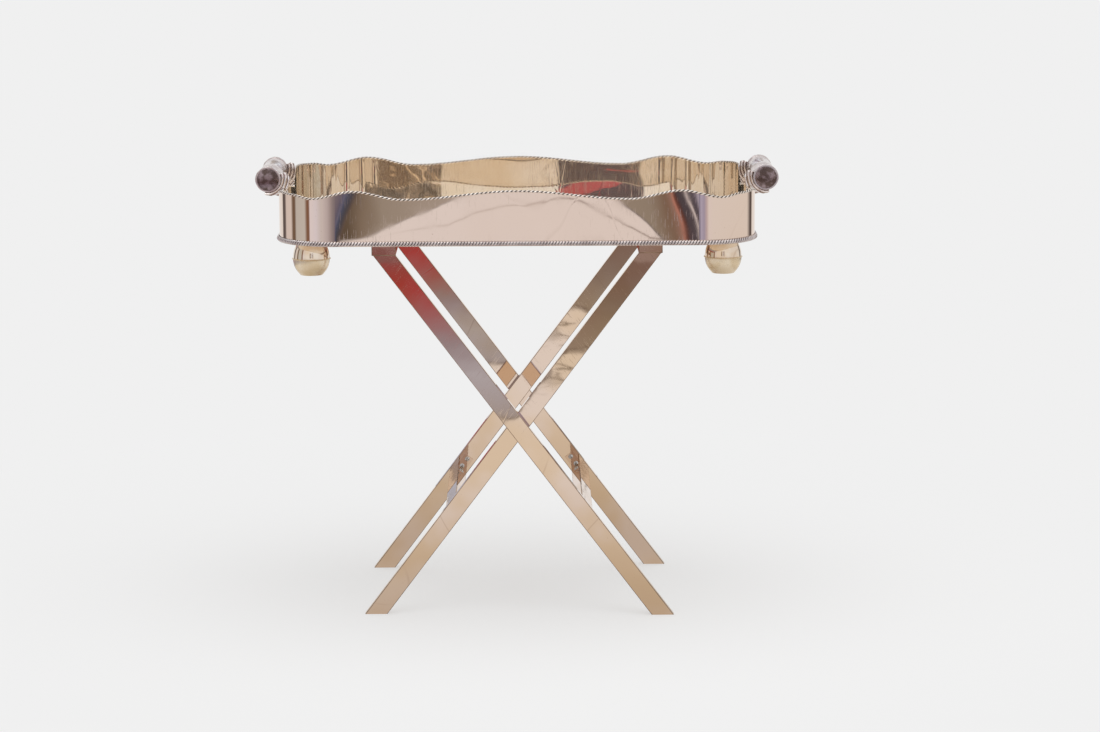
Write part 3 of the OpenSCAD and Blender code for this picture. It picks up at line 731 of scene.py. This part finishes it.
for across, side in (("left", -1), ("right", 1)):
    low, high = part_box(f"grip_{across}")
    axis = (low + high) / 2
    for end in ("front", "back"):
        node = f"handle_leaf_{across}_{end}"
        low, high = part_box(node)
        middle_y = (low.y + high.y) / 2
        half_depth = (high.y - low.y) / 2
        bm = bmesh.new()
        bmesh.ops.create_grid(bm, x_segments=leaf_rows, y_segments=leaf_columns, size=1)
        groove = bm.verts.layers.float.new("groove")
        for vert in bm.verts:
            along, out = (vert.co.x + 1) / 2, (vert.co.y + 1) / 2
            angle = leaf_edge[0][0] + (leaf_edge[-1][0] - leaf_edge[0][0]) * along
            scallop = scallop_depth * abs(math.sin(math.radians(angle * scallops_in_turn / 2)))
            radius = collar_radius + leaf_gap + (leaf_reach(angle) - scallop - collar_radius) * out
            turn = math.radians(angle)
            bulge = math.sqrt(max(1 - (2 * out - 1) ** 2, 0))
            bulge *= math.sin(math.pi * (0.06 + 0.88 * along)) ** 0.3
            rounded = 0.55 + 0.45 * bulge
            sway = 1.2 * math.sin(turn * 2)
            fold = 0.5 - 0.5 * math.cos(math.tau * (radius - collar_radius) / leaf_fold + sway)
            depth = half_depth * rounded - fold_depth * (1 - fold)
            # The hollows between the folds are painted darker through the groove attribute: painted shade.
            vert[groove] = (1 - fold) ** 2
            vert.co = Vector((axis.x - side * radius * math.cos(turn), middle_y - depth,
                              axis.z - radius * math.sin(turn)))
        made = bmesh.ops.extrude_face_region(bm, geom=bm.faces[:])
        for item in made["geom"]:
            if isinstance(item, bmesh.types.BMVert):
                item.co.y = 2 * middle_y - item.co.y
        finished(f"{node}_casting", soften(bm, 80), leaf_finish, "tray", "leaf_silvered", node)
dress(silver, "handle_rivets")


# ---------------------------------------------------------------- camera
# It stands about 5.5 m in front of the table, and looks down on it by a little under ten degrees
# through a long lens.
camera_place = Vector((0.012, -5.479, 1.328))
camera = bpy.data.objects.new("camera", bpy.data.cameras.new("camera"))
bpy.context.collection.objects.link(camera)
camera.data.lens = 105.4
camera.data.sensor_width = 36.0
camera.matrix_world = (Matrix.Translation(camera_place) @ Matrix.Rotation(math.radians(-0.447), 4, "Z")
                       @ Matrix.Rotation(math.radians(90 - 9.68), 4, "X")
                       @ Matrix.Rotation(math.radians(-0.236), 4, "Z"))
bpy.context.scene.camera = camera


# ---------------------------------------------------------------- pale floor and soft light
# The table stands on a plain pale sweep under one large soft light. The sweep gives most of its own
# light, and takes a soft shadow only near the table's feet.
PAPER = 0.871
bpy.context.scene.view_settings.view_transform = "Standard"
world = bpy.data.worlds.new("world")
world.use_nodes = True
world.node_tree.nodes["Background"].inputs["Color"].default_value = (PAPER, PAPER, PAPER, 1)
bpy.context.scene.world = world


class Glow(Finish):
    """A finish that only gives light, for what the metal mirrors."""

    def shine(self, colour, strength=1.0):
        glow = self.node("ShaderNodeEmission", {}, {"Color": colour, "Strength": strength})
        self.tree.links.new(glow.socket, self.tree.nodes["Material Output"].inputs["Surface"])
        return self


def stage(name, bm, finish, camera_sees=False):
    bmesh.ops.recalc_face_normals(bm, faces=bm.faces)
    mesh = bpy.data.meshes.new(name)
    bm.to_mesh(mesh)
    bm.free()
    thing = bpy.data.objects.new(name, mesh)
    bpy.context.collection.objects.link(thing)
    mesh.materials.append(finish.material)
    thing.visible_camera = camera_sees
    thing.visible_diffuse = camera_sees
    thing.visible_shadow = camera_sees
    thing.visible_glossy = not camera_sees
    return thing


floor_paint = Finish("paper")
far = floor_paint.node("ShaderNodeVectorMath", {"operation": "LENGTH"}, {0: floor_paint.place()}, "Value")
matt = floor_paint.node("ShaderNodeBsdfDiffuse", {}, {"Color": (0.80, 0.80, 0.80, 1)})
lit = floor_paint.node("ShaderNodeEmission", {}, {"Color": (PAPER, PAPER, PAPER, 1)})
shadow_share = 0.45 * (1.0 - floor_paint.between(far, 0.3, 1.5))
sweep = floor_paint.node("ShaderNodeMixShader", {}, {0: shadow_share, 1: lit, 2: matt})
floor_paint.tree.links.new(sweep.socket, floor_paint.tree.nodes["Material Output"].inputs["Surface"])
bm = bmesh.new()
bmesh.ops.create_circle(bm, cap_ends=True, segments=96, radius=60)
bmesh.ops.translate(bm, vec=(0, 0, -0.0002), verts=bm.verts)
stage("floor", bm, floor_paint, camera_sees=True)

soft = bpy.data.objects.new("soft light", bpy.data.lights.new("soft light", "AREA"))
soft.data.shape = "DISK"
soft.data.size = 2.4
soft.data.energy = 24
soft.location = (0.2, -0.4, 2.6)
soft.visible_glossy = False
bpy.context.collection.objects.link(soft)


# ---------------------------------------------------------------- what the metal mirrors
# Only mirror rays see these: a pale sheet on the floor that ends in front of the table, the darker
# room floor round it, and the walls and ceiling of a studio.
room_radius = 4.6
room_height = 3.2
disc_radius = 4.7
mirror_floor = Glow("mirrored floor")
spot = mirror_floor.place()
x = mirror_floor.node("ShaderNodeSeparateXYZ", {}, {"Vector": spot}, "X")
far = mirror_floor.node("ShaderNodeVectorMath", {"operation": "LENGTH"}, {0: spot}, "Value")
wander = mirror_floor.cloud(5.0, 3.0) - 0.5
edge = 2.0 + 0.88 * mirror_floor.between(x, -0.02, 0.13) + 0.30 * wander
room_floor = mirror_floor.node("ShaderNodeValToRGB", {"stops": [
    (0.0, (0.46, 0.46, 0.52)), (0.14, (0.51, 0.53, 0.62)), (0.36, (0.36, 0.32, 0.375)),
    (0.63, (0.40, 0.17, 0.19)), (0.88, (0.44, 0.07, 0.07)), (1.0, (0.34, 0.09, 0.09))]},
    {0: mirror_floor.between(far + 0.25 * wander, 1.9, 4.7)})
brown_floor = mirror_floor.node("ShaderNodeValToRGB", {"stops": [
    (0.0, (0.40, 0.36, 0.31)), (0.3, (0.337, 0.298, 0.261)), (0.59, (0.273, 0.225, 0.198)),
    (1.0, (0.24, 0.164, 0.141))]}, {0: mirror_floor.between(far + 0.25 * wander, 2.4, 4.7)})
room_floor = mirror_floor.blend(mirror_floor.between(x, -0.1, 0.25), room_floor, brown_floor)
# The mirrored sheet darkens towards the middle of the table: a painted shadow of the table in its
# reflection.
paper = mirror_floor.node("ShaderNodeValToRGB", {"stops": [
    (0.0, (0.60, 0.55, 0.50)), (0.2, (0.66, 0.61, 0.54)), (0.5, (0.78, 0.75, 0.72)),
    (1.0, (0.89, 0.88, 0.87))]},
    {0: (far + 0.10 * wander - 0.2) / 1.3})
squiggle = mirror_floor.line(far + 0.9 * wander, 2.32, 0.035)
squiggle = squiggle + mirror_floor.line(far - 0.8 * wander, 2.58, 0.03)
squiggle = squiggle * mirror_floor.between(x, 0.02, 0.12)
squiggle = squiggle * mirror_floor.between(mirror_floor.cloud(9.0), 0.36, 0.44)
paper = mirror_floor.blend(squiggle * 0.8, paper, (0.13, 0.09, 0.06))
seen = mirror_floor.blend(mirror_floor.between(far - edge, 0.0, 0.03), paper, room_floor)
border = mirror_floor.line(far - edge, 0.01, 0.045) * 0.75
mirror_floor.shine(mirror_floor.blend(border, seen, (0.13, 0.09, 0.07)))
bm = bmesh.new()
bmesh.ops.create_circle(bm, cap_ends=True, segments=96, radius=disc_radius)
bmesh.ops.translate(bm, vec=(0, 0, -0.0004), verts=bm.verts)
stage("mirrored_floor", bm, mirror_floor)

room = Glow("mirrored room")
spot = room.place()
xyz = [room.node("ShaderNodeSeparateXYZ", {}, {"Vector": spot}, axis) for axis in "XYZ"]
streaks = room.cloud(2.5, 3.0, (1, 1, 0.3)) - 0.5
wander = room.cloud(6.0, 3.0, (1, 1, 3)) - 0.5
# Degrees to the right of straight ahead, seen from the table, and metres above the floor.
bearing = room.maths("ARCTAN2", xyz[0], 0.0 - xyz[1]) * (180 / math.pi)
height = xyz[2]
CREAM = (0.89, 0.89, 0.93)
GLOOM = (0.09, 0.08, 0.10)


def outline(points):
    """The height of a line through (bearing, height) points, level beyond its ends."""
    first, last = points[0][0], points[-1][0]
    stops = [((b - first) / (last - first), (h, h, h)) for b, h in points]
    line = room.node("ShaderNodeValToRGB", {"stops": stops}, {0: (bearing - first) / (last - first)})
    line.socket.node.color_ramp.interpolation = "CARDINAL"
    return line


def along_bearing(stops, value):
    """Colours at bearings, blended from one to the next."""
    first, last = stops[0][0], stops[-1][0]
    return room.node("ShaderNodeValToRGB", {"stops": [((b - first) / (last - first), c) for b, c in stops]},
                     {0: (value - first) / (last - first)})


# Straight ahead: a bright sheet with two curtains, whose edges hang in long curves.
ahead = room.blend(room.cloud(9.0, 2.0) * 0.25, CREAM, (0.80, 0.80, 0.86))
seam = room.line(height - outline([(-5.7, 0.099), (-3.4, 0.117), (-2.6, 0.127), (-1.9, 0.165), (-0.9, 0.187),
                                   (0.3, 0.196), (2.3, 0.197), (3.2, 0.165), (3.8, 0.132), (4.8, 0.087)])
                 + 0.010 * wander, 0.0, 0.0035)
ahead = room.blend(seam * room.between(bearing, -5.9, -2.0) * 0.45, ahead, (0.30, 0.24, 0.19))
ahead = room.blend(seam * room.between(bearing, 0.6, 2.0) * 0.75, ahead, (0.16, 0.12, 0.09))
left_shade = along_bearing([(-6.9, (0.10, 0.08, 0.06)), (-6.3, (0.15, 0.12, 0.09)),
                            (-5.9, (0.26, 0.22, 0.18)), (-5.3, (0.37, 0.34, 0.30)),
                            (-3.0, (0.44, 0.41, 0.38)), (-1.5, (0.50, 0.47, 0.44))],
                           bearing + 0.8 * streaks)
over = height - (0.213 + 0.0290 * (bearing + 2.0)) + 0.022 * wander
left_side = room.between(over, 0.0, 0.004) * room.between(bearing, -20.0, -19.0)
ahead = room.blend(left_side, ahead, left_shade)
hem = room.line(over, 0.0, 0.004) * room.between(0.0 - bearing, 1.4, 2.6) * 0.6
ahead = room.blend(hem, ahead, (0.10, 0.08, 0.06))
reach = bearing + 15.0 * (height - 0.204) + 0.35 * wander
right_post = bearing - (6.19 + 3.4 * (0.222 - height)) + 0.10 * streaks
right_shade = along_bearing([(-2.7, (0.36, 0.33, 0.29)), (-1.5, (0.34, 0.31, 0.27)),
                             (-1.1, (0.28, 0.23, 0.19)), (-0.80, (0.24, 0.17, 0.13)),
                             (-0.60, (0.33, 0.22, 0.19)), (-0.48, (0.56, 0.27, 0.22)),
                             (-0.42, (0.16, 0.07, 0.06))], right_post + 0.5 * streaks)
ahead = room.blend(room.between(reach, 3.6, 3.66), ahead, right_shade)
ahead = room.blend(room.line(reach, 3.6, 0.09) * 0.85, ahead, (0.07, 0.05, 0.04))

# Both sides of the sheet stand dark frames that lean outwards to the floor, with lilac beyond.
left_post = 0.0 - bearing - (6.33 + 4.4 * (0.222 - height)) + 0.2 * streaks
beyond_left = along_bearing([(-0.35, (0.17, 0.13, 0.11)), (-0.2, (0.085, 0.085, 0.10)),
                             (0.0, (0.09, 0.11, 0.19)), (0.06, (0.20, 0.21, 0.33)),
                             (0.14, (0.12, 0.13, 0.22)), (0.28, (0.19, 0.175, 0.24)),
                             (0.7, (0.27, 0.25, 0.29)), (5.0, (0.40, 0.37, 0.40)),
                             (12.0, (0.57, 0.55, 0.60)), (22.0, (0.70, 0.69, 0.74))],
                            left_post + 0.15 * streaks)
ahead = room.blend(room.between(left_post, -0.35, -0.30), ahead, beyond_left)
beyond_right = along_bearing([(-0.42, (0.10, 0.05, 0.045)), (-0.3, GLOOM), (-0.04, GLOOM),
                              (-0.02, (0.85, 0.83, 0.88)), (0.03, (0.85, 0.83, 0.88)), (0.05, GLOOM),
                              (0.30, (0.12, 0.11, 0.15)), (0.42, (0.50, 0.50, 0.66)),
                              (0.6, (0.24, 0.24, 0.36)), (1.5, (0.50, 0.50, 0.70)),
                              (7.0, (0.42, 0.41, 0.58)), (12.0, (0.62, 0.55, 0.60)),
                              (16.0, (0.84, 0.82, 0.84))],
                             right_post)
ahead = room.blend(room.between(right_post, -0.42, -0.38), ahead, beyond_right)

beside = along_bearing([
    (-180, (0.90, 0.90, 0.90)), (-130, (0.90, 0.90, 0.90)), (-127, (0.12, 0.10, 0.10)),
    (-117, (0.17, 0.15, 0.15)), (-113, (0.76, 0.72, 0.72)), (-97, (0.78, 0.75, 0.75)),
    (-92, (0.20, 0.14, 0.10)), (-86, (0.20, 0.14, 0.10)), (-83, (0.60, 0.62, 0.62)),
    (-63, (0.64, 0.66, 0.66)), (-58.5, (0.26, 0.15, 0.10)), (-54, (0.24, 0.14, 0.10)),
    (-52, (0.86, 0.86, 0.95)), (-40, (0.80, 0.82, 0.95)), (-30, (0.68, 0.68, 0.72)),
    (0, (0.84, 0.83, 0.84)), (110, (0.84, 0.82, 0.80)), (122, (0.14, 0.12, 0.12)),
    (129, (0.10, 0.08, 0.07)), (133, (0.9, 0.9, 0.9)), (180, (0.90, 0.90, 0.90))], bearing + 1.5 * streaks)
walls = room.blend(room.between(abs(bearing), 26.0, 30.0), ahead, beside)

# A dark skirting runs along the foot of the wall ahead.
skirting = room.blend(room.between(bearing, -2.0, 2.0), (0.27, 0.13, 0.13), (0.35, 0.27, 0.25))
at_foot = (1.0 - room.between(height, 0.058, 0.066)) * (1.0 - room.between(abs(bearing), 30.0, 45.0))
walls = room.blend(at_foot, walls, skirting)

# Higher up, the inside of the tray mirrors a plain room twice over: ahead, and from behind the table.
upper = room.blend(room.between(height, 0.45, 0.8), (0.50, 0.42, 0.39), (0.92, 0.94, 0.96))
upper = room.blend(room.between(abs(bearing), 60.0, 110.0), upper, (0.88, 0.88, 0.88))
lifted = room.between(height, 0.34, 0.45) * (1.0 - room.between(abs(bearing), 30.0, 60.0))
walls = room.blend(lifted, walls, upper)
behind = room.between(abs(bearing), 120.0, 121.0)
seen_ahead = (xyz[0] + 0.0124) / 2.035
seen_behind = (xyz[0] + 0.011) / 1.94
across_tray = room.node("ShaderNodeMix", {}, {0: behind, 2: seen_ahead, 3: seen_behind})
swirl = room.node("ShaderNodeTexNoise", {}, {"Vector": spot, "Scale": 7.0, "Detail": 2.0, "Distortion": 3.0})
swirls = room.node("ShaderNodeValToRGB", {"stops": [
    (0.38, (0.13, 0.11, 0.10)), (0.47, (0.33, 0.28, 0.25)), (0.52, (0.16, 0.13, 0.12)),
    (0.58, (0.50, 0.43, 0.35)), (0.62, (1.3, 1.25, 1.2)), (0.66, (0.28, 0.24, 0.21))]}, {0: swirl})
red = room.between(room.cloud(9.0, 3.0, (0.35, 0.35, 2.5)), 0.54, 0.60)
dark = room.blend(red, (0.09, 0.07, 0.10), (0.55, 0.10, 0.13))
plain = room.blend(room.cloud(3.0), (1.00, 1.06, 1.14), (1.10, 1.16, 1.24))
inside = room.blend(room.between(across_tray, -0.137, -0.134), swirls, plain)
inside = room.blend(room.between(across_tray + 0.02 * streaks, 0.068, 0.074)
                    * (1.0 - room.between(across_tray + 0.02 * streaks, 0.218, 0.226)), inside, dark)
inside = room.blend(room.between(across_tray, 0.27, 0.34), inside, (0.50, 0.44, 0.42))
tan_streaks = room.between(room.cloud(5.0, 2.0, (4, 4, 0.3)), 0.45, 0.55)
tan_end = room.blend(tan_streaks, (0.34, 0.27, 0.22), (0.52, 0.45, 0.38))
inside = room.blend(room.between(0.0 - across_tray, 0.300, 0.304), inside, tan_end)
inside = room.blend(room.line(across_tray, -0.309, 0.006), inside, (1.5, 1.45, 1.45))
belt = room.between(height, 0.75, 0.90) * (1.0 - room.between(height, 1.9, 2.1))
belt = belt * (1.0 - room.between(abs(across_tray), 0.40, 0.45))
walls = room.blend(belt, walls, inside)
room.shine(walls)
bm = bmesh.new()
bmesh.ops.create_cone(bm, segments=128, radius1=room_radius, radius2=room_radius, depth=room_height)
bmesh.ops.translate(bm, vec=(0, 0, room_height / 2), verts=bm.verts)
stage("mirrored_room", bm, room)

ceiling = Glow("mirrored ceiling")
spot = ceiling.place()
lamp = (-0.8, -1.4, room_height)
away = ceiling.node("ShaderNodeVectorMath", {"operation": "DISTANCE"}, {0: spot, 1: lamp}, "Value")
ceiling.shine(ceiling.blend(ceiling.between(away, 0.75, 0.8), (3.2, 3.2, 3.2), (0.86, 0.86, 0.87)))
bm = bmesh.new()
bmesh.ops.create_circle(bm, cap_ends=True, segments=96, radius=disc_radius)
bmesh.ops.translate(bm, vec=(0, 0, room_height), verts=bm.verts)
stage("mirrored_ceiling", bm, ceiling)
